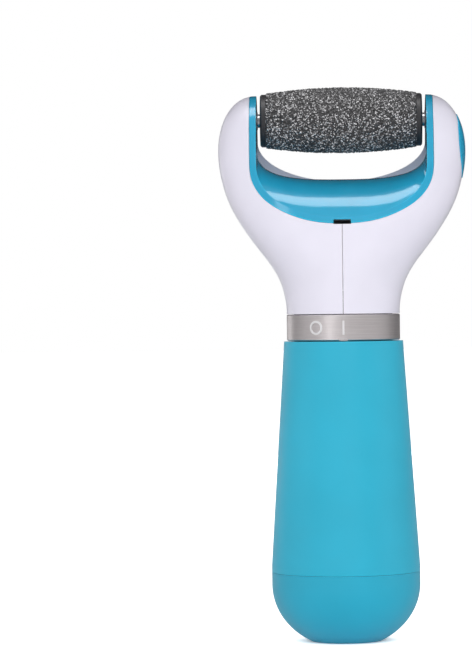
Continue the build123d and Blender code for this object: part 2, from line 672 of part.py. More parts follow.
CRADLE_R = 13.0
CRADLE_Z0 = 107.1
CRADLE_Z1 = 109.1
RIB_X = 9.0
RIB_HALF_Y = 11.4
RIB_GATE_HALF = 3.5  # opening through the ribs for the motor leads
RIB_GATE_Z1 = 120.0


def motor_cradle():
    """Cradle on top of the neck tube, with two ribs that hold the motor."""
    cradle = rod_z(CRADLE_R, CRADLE_Z0, CRADLE_Z1)
    for x in (-RIB_X, RIB_X):
        cradle += block(x - 1, x + 1, -RIB_HALF_Y, RIB_HALF_Y, CRADLE_Z1 - 2 * GAP, MOTOR_Z + 1)
        cradle -= block(x - 2, x + 2, -RIB_GATE_HALF, RIB_GATE_HALF, CRADLE_Z1 + 1, RIB_GATE_Z1)
    cradle -= motor_prism(MOTOR_X0, MOTOR_X1, RUN)
    return cradle - rod_z(4.0, CRADLE_Z0 - 1, CRADLE_Z1 + 1)


WIRE_R = 0.55


def wire(points):
    """Round wire along a smooth path."""
    path = Spline(*points)
    return sweep(Plane(origin=path @ 0, z_dir=path % 0) * Circle(WIRE_R), path=path)


def motor_lead(side):
    """Lead from the switch board up through the cradle to one motor terminal."""
    start_y = 1.8 * side
    points = [(0, start_y, BOARD_Z1 + 0.15), (0, start_y, CRADLE_Z0 - 1.1)]
    points += [(3, 1.9 * side, CRADLE_Z1 + 2.9), (12, 2.2 * side, 115)]
    points += [(19.0, 3.6 * side, RIB_GATE_Z1), (20.6, TERMINAL_Y * side, 126)]
    points.append((19.6, TERMINAL_Y * side, MOTOR_Z - 0.3))
    return wire(points)


# ---- release mechanism in the right arm --------------------------------------------------------------------
NOSE_Z = ROLLER_Z
NOSE_X = 29.15
NOSE_LENGTH = 2.6
TINE_Y0 = 2.75
TINE_Y1 = 3.9
TINE_THICK = 1.0
HUB_R = 1.4
HUB_HALF = 4.2
CROSSBAR_HALF_Y = 3.9
CROSSBAR_HALF_Z = 1.1
CROSSBAR_X0 = 29.7
CROSSBAR_X1 = 30.4
PUSH_NOSE_X = 31.6
PAD_X = 34.6
PAD_R = 1.9
PAD_ROOT_X = 36.5
PUSH_R = 0.7
PUSH_PLAY = 0.15  # between the button's post and the rocker's nose, at rest
COIL_R = 1.15
COIL_WIRE = 0.2
COIL_TURNS = 5
COIL_SEAT = 0.25
BUTTON_FLANGE = 0.7  # how far the flange behind the arm's wall reaches past the opening
BUTTON_THICK = 0.8
RELIEF_X = 35.0  # the button is hollowed this far out, so that it clears the idle pin's crossbar
RELIEF_HALF_Y = 5.2
BOTTOM_RELIEF = 4.5
TOP_RELIEF = 3.5


def link(x0, z0, x1, z1, thick, y0, y1):
    """Flat lever arm between two points, with round ends."""
    ends = (Pos(x0, z0) * Circle(thick / 2)).edges() + (Pos(x1, z1) * Circle(thick / 2)).edges()
    return Pos(0, y1, 0) * extrude(Plane.XZ * make_hull(ends), y1 - y0)


def rocker_lever():
    """Rocker: the button pushes its lower nose, and its two tines pull the idle pin back."""
    lever = rod_y(HUB_R, -HUB_HALF, HUB_HALF, ROCKER_X, ROCKER_Z)
    lever += link(ROCKER_X, ROCKER_Z, PUSH_NOSE_X, PUSH_Z, HUB_R, -1.2, 1.2)
    for y0, y1 in ((-TINE_Y1, -TINE_Y0), (TINE_Y0, TINE_Y1)):
        lever += link(ROCKER_X, ROCKER_Z, NOSE_X, NOSE_Z - NOSE_LENGTH, TINE_THICK, y0, y1)
        lever += link(NOSE_X, NOSE_Z - NOSE_LENGTH, NOSE_X, NOSE_Z, TINE_THICK, y0, y1)
    return lever - rod_y(PIVOT_R + RUN, -HUB_HALF - 1, HUB_HALF + 1, ROCKER_X, ROCKER_Z)


def idle_pin():
    """Sliding pin that carries the roller's free end, with a crossbar behind the liner."""
    pin = rod_x(STUB_R, PIN_TIP_X, CROSSBAR_X1, 0, ROLLER_Z)
    pin = chamfer(pin.edges().filter_by(GeomType.CIRCLE).sort_by(Axis.X)[0], 0.3)
    low, high = ROLLER_Z - CROSSBAR_HALF_Z, ROLLER_Z + CROSSBAR_HALF_Z
    return pin + block(CROSSBAR_X0, CROSSBAR_X1, -CROSSBAR_HALF_Y, CROSSBAR_HALF_Y, low, high)


def release_button():
    """Oval button that follows the arm's surface and stands slightly proud of it."""
    flange = button_prism(BUTTON_FLANGE) & head_block(WALL + BUTTON_CLEAR)
    face = button_prism(0) & (Pos(BUTTON_PROUD, 0, 0) * ENVELOPE)
    button = (face + flange) - head_block(WALL + BUTTON_CLEAR + BUTTON_THICK)
    for y in (-SPRING_Y, SPRING_Y):
        button += rod_x(PAD_R, PAD_X, PAD_ROOT_X, y, SPRING_Z)
    button += rod_x(PUSH_R, PUSH_NOSE_X + HUB_R / 2 + PUSH_PLAY, PAD_ROOT_X, 0, PUSH_Z)
    low, high = ROLLER_Z - BOTTOM_RELIEF, ROLLER_Z + TOP_RELIEF
    return button - block(LINER_X, RELIEF_X, -RELIEF_HALF_Y, RELIEF_HALF_Y, low, high)


def button_springs():
    """Two coil springs between the liner's wall and the button."""
    start = LINER_X + COIL_SEAT
    length = PAD_X - COIL_SEAT - start
    springs = []
    for y in (-SPRING_Y, SPRING_Y):
        springs.append(coil(COIL_R, COIL_WIRE, length, COIL_TURNS, (start, y, SPRING_Z), (1, 0, 0)))
    return Compound(children=springs)


# ---- neck tube, switch and ring ----------------------------------------------------------------------------
TUBE_Z0 = 64.8
TUBE_Z1 = 107.0
BOARD_R = 12.9
BOARD_Z0 = 95.0
BOARD_Z1 = 96.2
WIPER_Z0 = 96.4
WIPER_Z1 = 98.2
RING_TURN = 28.5
RING_PLAY = 0.07
RING_CHAMFER = 0.3
MARK_RAISE = 0.25
MARK_HALF = 2.1
MARK_LINE = 0.55
MARK_DEPTH_Y = 16.5
TUBE_LIP = 0.5  # how deep the tube's flanges are rooted in its wall
HEAD_FLANGE_R = 15.5
RING_FLANGE_R = 16.3
RING_FLANGE_Z0 = 88.4
RING_FLANGE_Z1 = 90.4
HOLDER_FLANGE_R = 18.0
FLANGE = 1.5
LEDGE_BORE_R = 11.9
WIPER_R = 12.6
WIPER_BORE_R = 5.6
TAB_HALF = 1.4
TAB_Y0 = 10.6
LEAD_X = 5.0
LEAD_R = 0.6


def chassis_tube():
    """Neck tube that joins the battery holder, the handle, the ring and the head."""
    tube = tube_z(TUBE_R, TUBE_BORE_R, TUBE_Z0, TUBE_Z1)
    tube += tube_z(HEAD_FLANGE_R, TUBE_R - TUBE_LIP, TUBE_FLANGE_Z, TUBE_FLANGE_Z + FLANGE)
    tube += tube_z(RING_FLANGE_R, TUBE_R - TUBE_LIP, RING_FLANGE_Z0, RING_FLANGE_Z1)
    tube += tube_z(HOLDER_FLANGE_R, TUBE_R - TUBE_LIP, TUBE_Z0, TUBE_Z0 + FLANGE)
    tube += tube_z(TUBE_R - TUBE_LIP, LEDGE_BORE_R, BOARD_Z0 - 1.3, BOARD_Z0 - GAP)
    tube -= sector(LEDGE_BORE_R, RING_R, WIPER_Z0 + GAP, WIPER_Z1 + GAP, 82, 98 + RING_TURN)
    for x in (-FRAME_SCREW_X, FRAME_SCREW_X):
        tube -= rod_z(FRAME_SCREW_R + GAP, TUBE_Z0 - 1, TUBE_Z0 + FLANGE + 1, x, 0)
    return tube


def switch_ring():
    """Satin metal ring that turns on the neck tube and carries raised on and off marks."""
    ring = tube_z(RING_R, TUBE_R + RING_PLAY, RING_Z0, RING_Z1)
    ring = chamfer(ring.edges().filter_by(GeomType.CIRCLE).group_by(SortBy.RADIUS)[-1], RING_CHAMFER)
    ring -= block(-1.25, 1.25, -FAR, -16.7, RING_Z0 - 1, RING_Z0 + 0.45)
    mark_z = (RING_Z0 + RING_Z1) / 2
    low, high = mark_z - MARK_HALF, mark_z + MARK_HALF
    on_mark = block(-MARK_LINE / 2, MARK_LINE / 2, -FAR, -MARK_DEPTH_Y, low, high)
    off_mark = rod_y(MARK_HALF, -FAR, -MARK_DEPTH_Y, 0, mark_z)
    off_mark -= rod_y(MARK_HALF - MARK_LINE, -FAR, 0, 0, mark_z)
    marks = on_mark + Rot(0, 0, -RING_TURN) * off_mark
    marks &= tube_z(RING_R + MARK_RAISE, RING_R - TUBE_LIP, RING_Z0, RING_Z1)
    ring += marks
    return ring + block(-TAB_HALF, TAB_HALF, TAB_Y0, TUBE_R + TUBE_LIP, WIPER_Z0 + 0.3, WIPER_Z1 - GAP)


def switch_board():
    """Round circuit board with the switch's contact pads."""
    board = rod_z(BOARD_R, BOARD_Z0, BOARD_Z1)
    for x in (-LEAD_X, LEAD_X):
        board -= rod_z(LEAD_R + GAP, BOARD_Z0 - 1, BOARD_Z1 + 1, x, 0)
    return board


def switch_wiper():
    """Contact carrier turned by the ring's inner tab."""
    wiper = tube_z(WIPER_R, WIPER_BORE_R, WIPER_Z0, WIPER_Z1)
    return wiper - block(-TAB_HALF - GAP, TAB_HALF + GAP, TAB_Y0 - GAP, TUBE_R, WIPER_Z0 - 1, WIPER_Z1 + 1)


def battery_lead(x):
    """Lead from the upper contacts to the switch board."""
    return rod_z(LEAD_R, HOLDER_Z1 + RUN, BOARD_Z0 - RUN, x, 0)


# ---- handle, battery holder, cells and contacts ------------------------------------------------------------
FRAME_SCREW_X = 16.5
FRAME_SCREW_R = 0.85
FRAME_SCREW_HEAD_R = 1.4
FRAME_SCREW_Z0 = 56.0
HANDLE_LIP = 1.6
FOOT = 2.0  # straight band at the handle's lower edge
LUG_ROOT_R = 18.0
GROOVE_R = 21.3
LUG_R = 21.0
LUG_PLAY = 0.15
DOME_STEPS = 10
COVER_WALL = 2.0
COVER_FLOOR = 2.2
SPIGOT_BORE_R = 18.9
SPIGOT_Z0 = 19.0
HOLDER_Z0 = 22.0
HOLDER_Z1 = 64.5
BORE_R = 7.25
CONTACT_Z = 62.8  # underside of the upper contact strips
POST_R = 2.6
SPIGOT_R = 20.25
SPIGOT_TOP = 27.0
TWIST = 20.0  # how far the battery cover turns to come off
LUG = 8.0  # half angle of a bayonet lug
LUG_Z0 = 24.0
LUG_Z1 = 25.6
SEAM_CLEAR = 0.12
STRIP = 0.4  # thickness of a contact strip
STRIP_HALF = 2.4
STRIP_REACH = 9.9
STRIP_TOP = CONTACT_Z + STRIP + GAP
STRIP_BUTTON_R = 2.2
CELL_COIL_R = 1.9
CELL_COIL_TURNS = 1.8
POST_TOP = 36.0
POST_HOLE_Z = 40.0
CARRIER_R = 16.8
CARRIER_Z0 = 7.7
CARRIER_Z1 = 8.9
CELL_PLACES = [(sx * CELL_CENTRE, sy * CELL_CENTRE, sx * sy) for sx in (-1, 1) for sy in (-1, 1)]


def handle_shell():
    """Tapered handle with an inward lip at its top and bayonet grooves at its bottom."""
    slope = (CAP_R - HANDLE_TOP_R) / (HANDLE_TOP_Z - CAP_SEAM_Z)
    inner_top = HANDLE_TOP_R + slope * HANDLE_LIP - HANDLE_WALL
    outline = [
        (CAP_R - HANDLE_WALL, CAP_SEAM_Z + SEAM_CLEAR),
        (CAP_R, CAP_SEAM_Z + SEAM_CLEAR),
        (CAP_R, CAP_SEAM_Z + FOOT),
        (HANDLE_TOP_R, HANDLE_TOP_Z),
        (TUBE_R + GAP, HANDLE_TOP_Z),
        (TUBE_R + GAP, HANDLE_TOP_Z - HANDLE_LIP),
        (inner_top, HANDLE_TOP_Z - HANDLE_LIP),
        (CAP_R - HANDLE_WALL, CAP_SEAM_Z + FOOT),
    ]
    handle = turned(outline)
    for start in (0, 180):
        low, high = start - LUG - 1, start + TWIST + LUG + 1
        handle -= sector(LUG_ROOT_R, GROOVE_R, LUG_Z0 - LUG_PLAY, LUG_Z1 + LUG_PLAY, low, high)
        entry = start + TWIST - LUG - 1
        handle -= sector(LUG_ROOT_R, GROOVE_R, CAP_SEAM_Z - 1, LUG_Z1 + LUG_PLAY, entry, high)
    return handle


def battery_cover():
    """Domed cover with a flat base, a spigot inside the handle and two bayonet lugs."""

    def dome(wall, rise):
        """Right-hand half of the dome's outline, pulled in by wall and closed at height rise."""
        a, b = CAP_R - wall, CAP_DOME_H - wall
        lowest = math.asin(min(1.0, (CAP_DOME_Z - rise) / b))
        turns = [lowest * k / DOME_STEPS for k in range(DOME_STEPS + 1)]
        points = [(a * math.cos(turn), CAP_DOME_Z - b * math.sin(turn)) for turn in turns]
        seam = CAP_SEAM_Z + wall
        curve = Spline(*points)
        edges = [
            curve,
            Line(points[-1], (0, rise)),
            Line((0, rise), (0, seam)),
            Line((0, seam), (a, seam)),
            Line((a, seam), points[0]),
        ]
        return revolve(Plane.XZ * make_face(edges), Axis.Z)

    cover = dome(0, 0) - dome(COVER_WALL, COVER_FLOOR)
    cover += tube_z(SPIGOT_R, SPIGOT_BORE_R, SPIGOT_Z0, SPIGOT_TOP)
    cover += tube_z(CAP_R - COVER_WALL / 2, SPIGOT_BORE_R, SPIGOT_Z0 - 1, CAP_SEAM_Z)
    for start in (0, 180):
        cover += sector(SPIGOT_R - 0.5, LUG_R, LUG_Z0, LUG_Z1, start - LUG, start + LUG)
    return cover


def battery_holder():
    """Carcass with four bores for the cells, screwed under the neck tube."""
    holder = rod_z(HOLDER_R, HOLDER_Z0, HOLDER_Z1)
    for x, y, _ in CELL_PLACES:
        holder -= rod_z(BORE_R, 0, STRIP_TOP, x, y)
    holder -= rod_z(POST_R + GAP, 0, POST_HOLE_Z)
    across, reach = STRIP_HALF + GAP, STRIP_REACH + GAP
    for side in (-1, 1):
        middle = side * CELL_CENTRE
        holder -= block(-reach, reach, middle - across, middle + across, CONTACT_Z - GAP, STRIP_TOP)
    for x in (-LEAD_X, LEAD_X):
        holder -= rod_z(LEAD_R + 3 * GAP, CONTACT_Z, HOLDER_Z1 + 1, x, 0)
    for x in (-FRAME_SCREW_X, FRAME_SCREW_X):
        holder -= rod_z(FRAME_SCREW_R + RUN, FRAME_SCREW_Z0 - 1, HOLDER_Z1 + 1, x, 0)
    return holder


def frame_screws():
    """Two screws from the tube's bottom flange into the battery holder."""
    screws = []
    for x in (-FRAME_SCREW_X, FRAME_SCREW_X):
        shank = rod_z(FRAME_SCREW_R, FRAME_SCREW_Z0, TUBE_Z0 + FLANGE + GAP, x, 0)
        screws.append(shank + rod_z(FRAME_SCREW_HEAD_R, TUBE_Z0 + FLANGE + RUN, TUBE_Z0 + FLANGE + 0.9, x, 0))
    return Compound(children=screws)


def aa_cells():
    """Four AA cells, neighbours upside down to each other."""
    cells = []
    for x, y, up in CELL_PLACES:
        foot = CELL_Z0 if up > 0 else CELL_Z0 + CELL_NUB
        can = rod_z(CELL_R, foot, foot + CELL_LENGTH, x, y)
        can = fillet(can.edges().filter_by(GeomType.CIRCLE), CELL_EDGE_R)
        nub_z = foot + CELL_LENGTH - GAP if up > 0 else CELL_Z0
        cells.append(can + rod_z(CELL_NUB_R, nub_z, nub_z + CELL_NUB + GAP, x, y))
    return Compound(children=cells)


def contact_strips(level, towards, along_x):
    """Two contact strips, each bridging a pair of cells, with a button for the pair's positive end."""
    strips = []
    cell_end = CELL_Z0 if towards > 0 else CELL_Z0 + CELL_LENGTH + CELL_NUB
    low, high = level, level + STRIP
    for side in (-1, 1):
        across = (side * CELL_CENTRE - STRIP_HALF, side * CELL_CENTRE + STRIP_HALF)
        if along_x:
            strip = block(-STRIP_REACH, STRIP_REACH, *across, low, high)
        else:
            strip = block(*across, -STRIP_REACH, STRIP_REACH, low, high)
        for x, y, up in CELL_PLACES:
            on_strip = (y if along_x else x) * side > 0
            if on_strip and up * towards < 0:
                ends = sorted((cell_end - RUN * towards, level + STRIP / 2))
                strip += rod_z(STRIP_BUTTON_R, *ends, x, y)
        strips.append(strip)
    return Compound(children=strips)


def contact_springs(level, towards):
    """Coil springs on the flat ends of two cells."""
    springs = []
    cell_end = CELL_Z0 if towards > 0 else CELL_Z0 + CELL_LENGTH + CELL_NUB
    start = level + (STRIP if towards > 0 else 0.0) + COIL_SEAT * towards
    length = abs(cell_end - COIL_SEAT * towards - start)
    for x, y, up in CELL_PLACES:
        if up * towards > 0:
            foot = (x, y, start)
            springs.append(coil(CELL_COIL_R, COIL_WIRE, length, CELL_COIL_TURNS, foot, (0, 0, towards)))
    return Compound(children=springs)


def contact_carrier():
    """Disc under the cells that carries the lower contacts; its post keys into the holder's centre."""
    carrier = rod_z(CARRIER_R, CARRIER_Z0, CARRIER_Z1)
    return carrier + rod_z(POST_R, CARRIER_Z1 - GAP, POST_TOP)


def build_nodes():
    """Every node of the assembly, by name."""
    shell_left, shell_right = head_shells()
    return {
        "head_shell_left": shell_left,
        "head_shell_right": shell_right,
        "fork_liner": fork_liner(),
        "liner_screws": liner_screws(),
        "spindle_bush": flanged_bush(-1),
        "idle_pin_bush": flanged_bush(1),
        "rocker_pivot_pin": rod_y(PIVOT_R, -EAR_Y1, EAR_Y1, ROCKER_X, ROCKER_Z),
        "abrasive_sleeve": abrasive_sleeve(),
        "roller_core": roller_core(),
        "drive_end_cap": drive_end_cap(),
        "idle_end_cap": idle_end_cap(),
        "drive_spindle": drive_spindle(),
        "spindle_gear": gear(SPINDLE_TEETH, PLANE_B, *SPINDLE_YZ, SPINDLE_PHASE, SPINDLE_JOURNAL_R + PRESS),
        "idler_gear": gear(IDLER_TEETH, PLANE_B, *IDLER_YZ, IDLER_PHASE, PIN_R + RUN),
        "compound_gear": compound_gear(),
        "gear_axles": gear_axles(),
        "gear_plate": gear_plate(),
        "pinion_gear": gear(PINION_TEETH, PLANE_A, *MOTOR_YZ, PINION_PHASE, PIN_R + PRESS),
        "motor_shaft": motor_shaft(),
        "motor_armature": armature(),
        "motor_can": motor_can(),
        "motor_end_bell": motor_end_bell(),
        "motor_terminals": motor_terminals(),
        "motor_cradle": motor_cradle(),
        "motor_lead_red": motor_lead(1),
        "motor_lead_black": motor_lead(-1),
        "rocker_lever": rocker_lever(),
        "idle_pin": idle_pin(),
        "release_button": release_button(),
        "button_springs": button_springs(),
        "chassis_tube": chassis_tube(),
        "switch_ring": switch_ring(),
        "switch_board": switch_board(),
        "switch_wiper": switch_wiper(),
        "battery_lead_red": battery_lead(LEAD_X),
        "battery_lead_black": battery_lead(-LEAD_X),
        "handle_shell": handle_shell(),
        "battery_holder": battery_holder(),
        "frame_screws": frame_screws(),
        "aa_cells": aa_cells(),
        "upper_contacts": contact_strips(CONTACT_Z, -1, True),
        "upper_contact_springs": contact_springs(CONTACT_Z, -1),
        "contact_carrier": contact_carrier(),
        "lower_contacts": contact_strips(CARRIER_Z1 + RUN, 1, False),
        "lower_contact_springs": contact_springs(CARRIER_Z1 + RUN, 1),
        "battery_cover": battery_cover(),
    }


os.makedirs("parts", exist_ok=True)
for name, shape in build_nodes().items():
    export_step(shape, f"parts/{name}.step")
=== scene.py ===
import math

import bpy
import numpy as np
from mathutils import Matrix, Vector, kdtree

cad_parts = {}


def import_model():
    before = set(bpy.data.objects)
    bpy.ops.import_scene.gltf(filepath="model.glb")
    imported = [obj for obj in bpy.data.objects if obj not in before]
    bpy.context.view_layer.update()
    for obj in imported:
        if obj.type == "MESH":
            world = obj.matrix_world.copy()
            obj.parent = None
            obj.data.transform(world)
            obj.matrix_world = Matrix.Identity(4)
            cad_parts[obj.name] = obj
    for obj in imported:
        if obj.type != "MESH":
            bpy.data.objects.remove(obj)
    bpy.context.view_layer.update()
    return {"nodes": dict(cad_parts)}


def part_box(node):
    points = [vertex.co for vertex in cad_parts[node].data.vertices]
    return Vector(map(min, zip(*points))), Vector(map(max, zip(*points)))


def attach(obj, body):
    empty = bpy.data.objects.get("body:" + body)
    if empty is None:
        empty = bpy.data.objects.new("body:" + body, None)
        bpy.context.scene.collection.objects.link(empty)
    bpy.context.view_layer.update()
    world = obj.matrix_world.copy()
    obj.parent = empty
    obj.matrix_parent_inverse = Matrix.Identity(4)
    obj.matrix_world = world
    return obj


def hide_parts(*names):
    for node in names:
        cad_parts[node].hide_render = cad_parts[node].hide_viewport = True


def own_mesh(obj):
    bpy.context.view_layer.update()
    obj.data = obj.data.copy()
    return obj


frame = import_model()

MM = 0.001
NODES = frame["nodes"]
MIX_COLOUR_A, MIX_COLOUR_B, MIX_COLOUR_OUT = 6, 7, 2  # the Mix node's colour sockets
PER_METRE = 1000.0  # turns a size in millimetres into a texture scale


# ---- node material helpers ---------------------------------------------------------------------------------
def linear(rgb):
    """sRGB 0-255 colour as linear RGBA."""
    channels = []
    for value in rgb:
        c = value / 255
        channels.append(c / 12.92 if c <= 0.04045 else ((c + 0.055) / 1.055) ** 2.4)
    return (*channels, 1.0)


def scaled(rgb, share):
    """sRGB colour made darker or lighter."""
    return tuple(min(255, c * share) for c in rgb)


class Material:
    """A node material under construction: short calls for the nodes that every finish here uses."""

    def __init__(self, name):
        self.material = bpy.data.materials.new(name)
        self.material.use_nodes = True
        self.tree = self.material.node_tree
        self.shader = self.tree.nodes["Principled BSDF"]
        coords = self.tree.nodes.new("ShaderNodeTexCoord")
        self.place = coords.outputs["Object"]

    def node(self, kind, **settings):
        """New node of this kind with the given settings."""
        made = self.tree.nodes.new(kind)
        for key, value in settings.items():
            setattr(made, key, value)
        return made

    def link(self, source, target):
        self.tree.links.new(source, target)

    def set(self, **values):
        """Sets the shader's inputs; an underscore stands for a space in the name."""
        for key, value in values.items():
            self.shader.inputs[key.replace("_", " ")].default_value = value

    def stretched(self, scale):
        """The object's coordinates, scaled apart along X, Y and Z."""
        mapping = self.node("ShaderNodeMapping")
        mapping.inputs["Scale"].default_value = scale
        self.link(self.place, mapping.inputs["Vector"])
        return mapping.outputs["Vector"]

    def noise(self, size_mm, detail=3.0, rough=0.55, vector=None):
        """Noise with features of about size_mm, from 0 to 1."""
        made = self.node("ShaderNodeTexNoise")
        made.inputs["Scale"].default_value = PER_METRE / size_mm
        made.inputs["Detail"].default_value = detail
        made.inputs["Roughness"].default_value = rough
        self.link(vector or self.place, made.inputs["Vector"])
        return made.outputs["Fac"]

    def cells(self, size_mm):
        """Voronoi cells of about size_mm."""
        made = self.node("ShaderNodeTexVoronoi")
        made.inputs["Scale"].default_value = PER_METRE / size_mm
        self.link(self.place, made.inputs["Vector"])
        return made

    def spread(self, value, low, high, start=0.3, end=0.7):
        """Maps value's start..end range to low..high."""
        made = self.node("ShaderNodeMapRange")
        made.inputs["From Min"].default_value = start
        made.inputs["From Max"].default_value = end
        made.inputs["To Min"].default_value = low
        made.inputs["To Max"].default_value = high
        self.link(value, made.inputs["Value"])
        return made.outputs["Result"]

    def mix(self, fac, a, b):
        """Mix of two colours; a and b are colours or sockets."""
        made = self.node("ShaderNodeMix", data_type="RGBA")
        if hasattr(fac, "links"):
            self.link(fac, made.inputs["Factor"])
        else:
            made.inputs["Factor"].default_value = fac
        for socket, value in ((made.inputs[MIX_COLOUR_A], a), (made.inputs[MIX_COLOUR_B], b)):
            if hasattr(value, "links"):
                self.link(value, socket)
            else:
                socket.default_value = value
        return made.outputs[MIX_COLOUR_OUT]

    def edges(self, radius_mm, start=0.02, end=0.22):
        """1 on convex and concave edges, 0 on open surfaces."""
        bevel = self.node("ShaderNodeBevel", samples=4)
        bevel.inputs["Radius"].default_value = radius_mm * MM
        geometry = self.node("ShaderNodeNewGeometry")
        dot = self.node("ShaderNodeVectorMath", operation="DOT_PRODUCT")
        self.link(bevel.outputs["Normal"], dot.inputs[0])
        self.link(geometry.outputs["Normal"], dot.inputs[1])
        flip = self.node("ShaderNodeMath", operation="SUBTRACT")
        flip.inputs[0].default_value = 1.0
        self.link(dot.outputs["Value"], flip.inputs[1])
        return self.spread(flip.outputs["Value"], 0.0, 1.0, start, end)

    def rounded(self, radius_mm):
        """Normal that rounds edges by the given radius."""
        bevel = self.node("ShaderNodeBevel", samples=8)
        bevel.inputs["Radius"].default_value = radius_mm * MM
        return bevel.outputs["Normal"]

    def bump(self, height, depth_mm, strength=1.0, below=None):
        """Bump of the given depth, on top of the normal below."""
        made = self.node("ShaderNodeBump")
        made.inputs["Strength"].default_value = strength
        made.inputs["Distance"].default_value = depth_mm * MM
        self.link(height, made.inputs["Height"])
        if below is not None:
            self.link(below, made.inputs["Normal"])
        return made.outputs["Normal"]

    def wire(self, **sockets):
        """Links sockets to the shader's inputs, named as in set()."""
        for key, value in sockets.items():
            self.link(value, self.shader.inputs[key.replace("_", " ")])


EDGE_SOFTNESS_MM = 0.3  # how far moulded edges look rounded


def moulded_plastic(name, rgb, rough, grain_mm=0.35, grain_depth=0.004, coat=0.0, edge_wear_and_highlight=1.12, blotch=0.04):
    """Moulded plastic: faint colour drift, fine mould texture, uneven gloss, and edges lighter from wear and
    a painted edge highlight.
    """
    m = Material(name)
    drift = m.noise(size_mm=18.0, detail=2.0)
    deep, pale = linear(scaled(rgb, 1 - blotch)), linear(scaled(rgb, 1 + blotch / 2))
    base = m.mix(m.spread(drift, 0.0, 1.0), deep, pale)
    # edges lighter in colour: partly wear, partly a painted edge highlight
    rubbed_and_highlit_edges = m.mix(m.edges(radius_mm=0.45), base, linear(scaled(rgb, edge_wear_and_highlight)))
    grain = m.noise(grain_mm, detail=2.0, rough=0.6)
    smudge = m.noise(size_mm=7.0, detail=4.0)
    normal = m.bump(grain, grain_depth, below=m.rounded(EDGE_SOFTNESS_MM))
    gloss = m.spread(smudge, low=rough * 0.85, high=rough * 1.2)
    m.wire(Base_Color=rubbed_and_highlit_edges, Roughness=gloss, Normal=normal)
    m.set(Coat_Weight=coat, Coat_Roughness=0.08, IOR=1.48)
    return m.material


def metal(name, rgb, rough, lines_scale=(1, 1, 1), line_mm=0.15, depth=0.003, tarnish=0.1):
    """Plain metal with tool marks stretched along one direction, uneven gloss, and edges lighter from wear
    and a painted edge highlight.
    """
    m = Material(name)
    lines = m.noise(line_mm, detail=2.0, vector=m.stretched(lines_scale))
    spots = m.noise(size_mm=2.5, detail=4.0)
    base = m.mix(m.spread(spots, 0.0, 1.0), linear(scaled(rgb, 1 - tarnish)), linear(rgb))
    # edges lighter in colour: partly wear, partly a painted edge highlight
    worn_and_highlit_edges = m.mix(m.edges(radius_mm=0.25), base, linear(scaled(rgb, share=1.15)))
    gloss = m.spread(lines, low=rough * 0.75, high=rough * 1.3)
    m.wire(Base_Color=worn_and_highlit_edges, Roughness=gloss, Normal=m.bump(lines, depth))
    m.set(Metallic=1.0)
    return m.material


# ---- finishes ----------------------------------------------------------------------------------------------
WHITE = (240, 237, 251)
BLUE_LINER = (36, 172, 214)
BLUE_GRIP = (38, 184, 216)
BLUE_COVER = (34, 176, 208)
RING_TURNED = (216, 209, 210)
RING_POLISHED = (232, 226, 227)
# edge colour: partly wear, partly a painted edge highlight
RING_EDGE_WEAR_AND_HIGHLIGHT = (250, 248, 250)
RING_MARK = (244, 242, 244)
MARK_STARTS = 0.02 * MM  # height over the band at which the raised marks begin to brighten
MARK_FULL = 0.06 * MM
MARK_METALLIC = 0.45
GRIT_RESIN = (5, 5, 6)
GRIT_GRAIN = (60, 59, 61)
GRIT_PAINTED_GLINT = (236, 235, 238)
GRIT_DUST = (150, 149, 152)
PAINTED_GLINTS_FROM, PAINTED_GLINTS_FULL = 0.76, 0.96  # part of the grains, by their random value, given a near-white painted glint colour


def soft_touch(name, rgb):
    """Rubber-painted handle: matte, faint sheen, very fine pebble, slight polish where fingers rub, and edges
    lighter from wear and a painted edge highlight.
    """
    m = Material(name)
    drift = m.noise(size_mm=30.0, detail=2.0)
    deep, pale = linear(scaled(rgb, share=0.975)), linear(scaled(rgb, share=1.02))
    base = m.mix(m.spread(drift, 0.0, 1.0), deep, pale)
    # edges lighter in colour: partly wear, partly a painted edge highlight
    rubbed_and_highlit_edges = m.mix(m.edges(radius_mm=0.35), base, linear(scaled(rgb, share=1.14)))
    pebble = m.cells(size_mm=0.28)
    hairs = m.noise(size_mm=0.9, detail=5.0, rough=0.7, vector=m.stretched((1.0, 1.0, 0.25)))
    normal = m.bump(pebble.outputs["Distance"], depth_mm=0.006, strength=0.5)
    normal = m.bump(hairs, depth_mm=0.006, strength=0.35, below=normal)
    polish = m.noise(size_mm=22.0, detail=3.0)
    m.wire(Base_Color=rubbed_and_highlit_edges, Roughness=m.spread(polish, low=0.42, high=0.54), Normal=normal)
    m.set(Sheen_Weight=0.12, Sheen_Roughness=0.5, IOR=1.45)
    return m.material


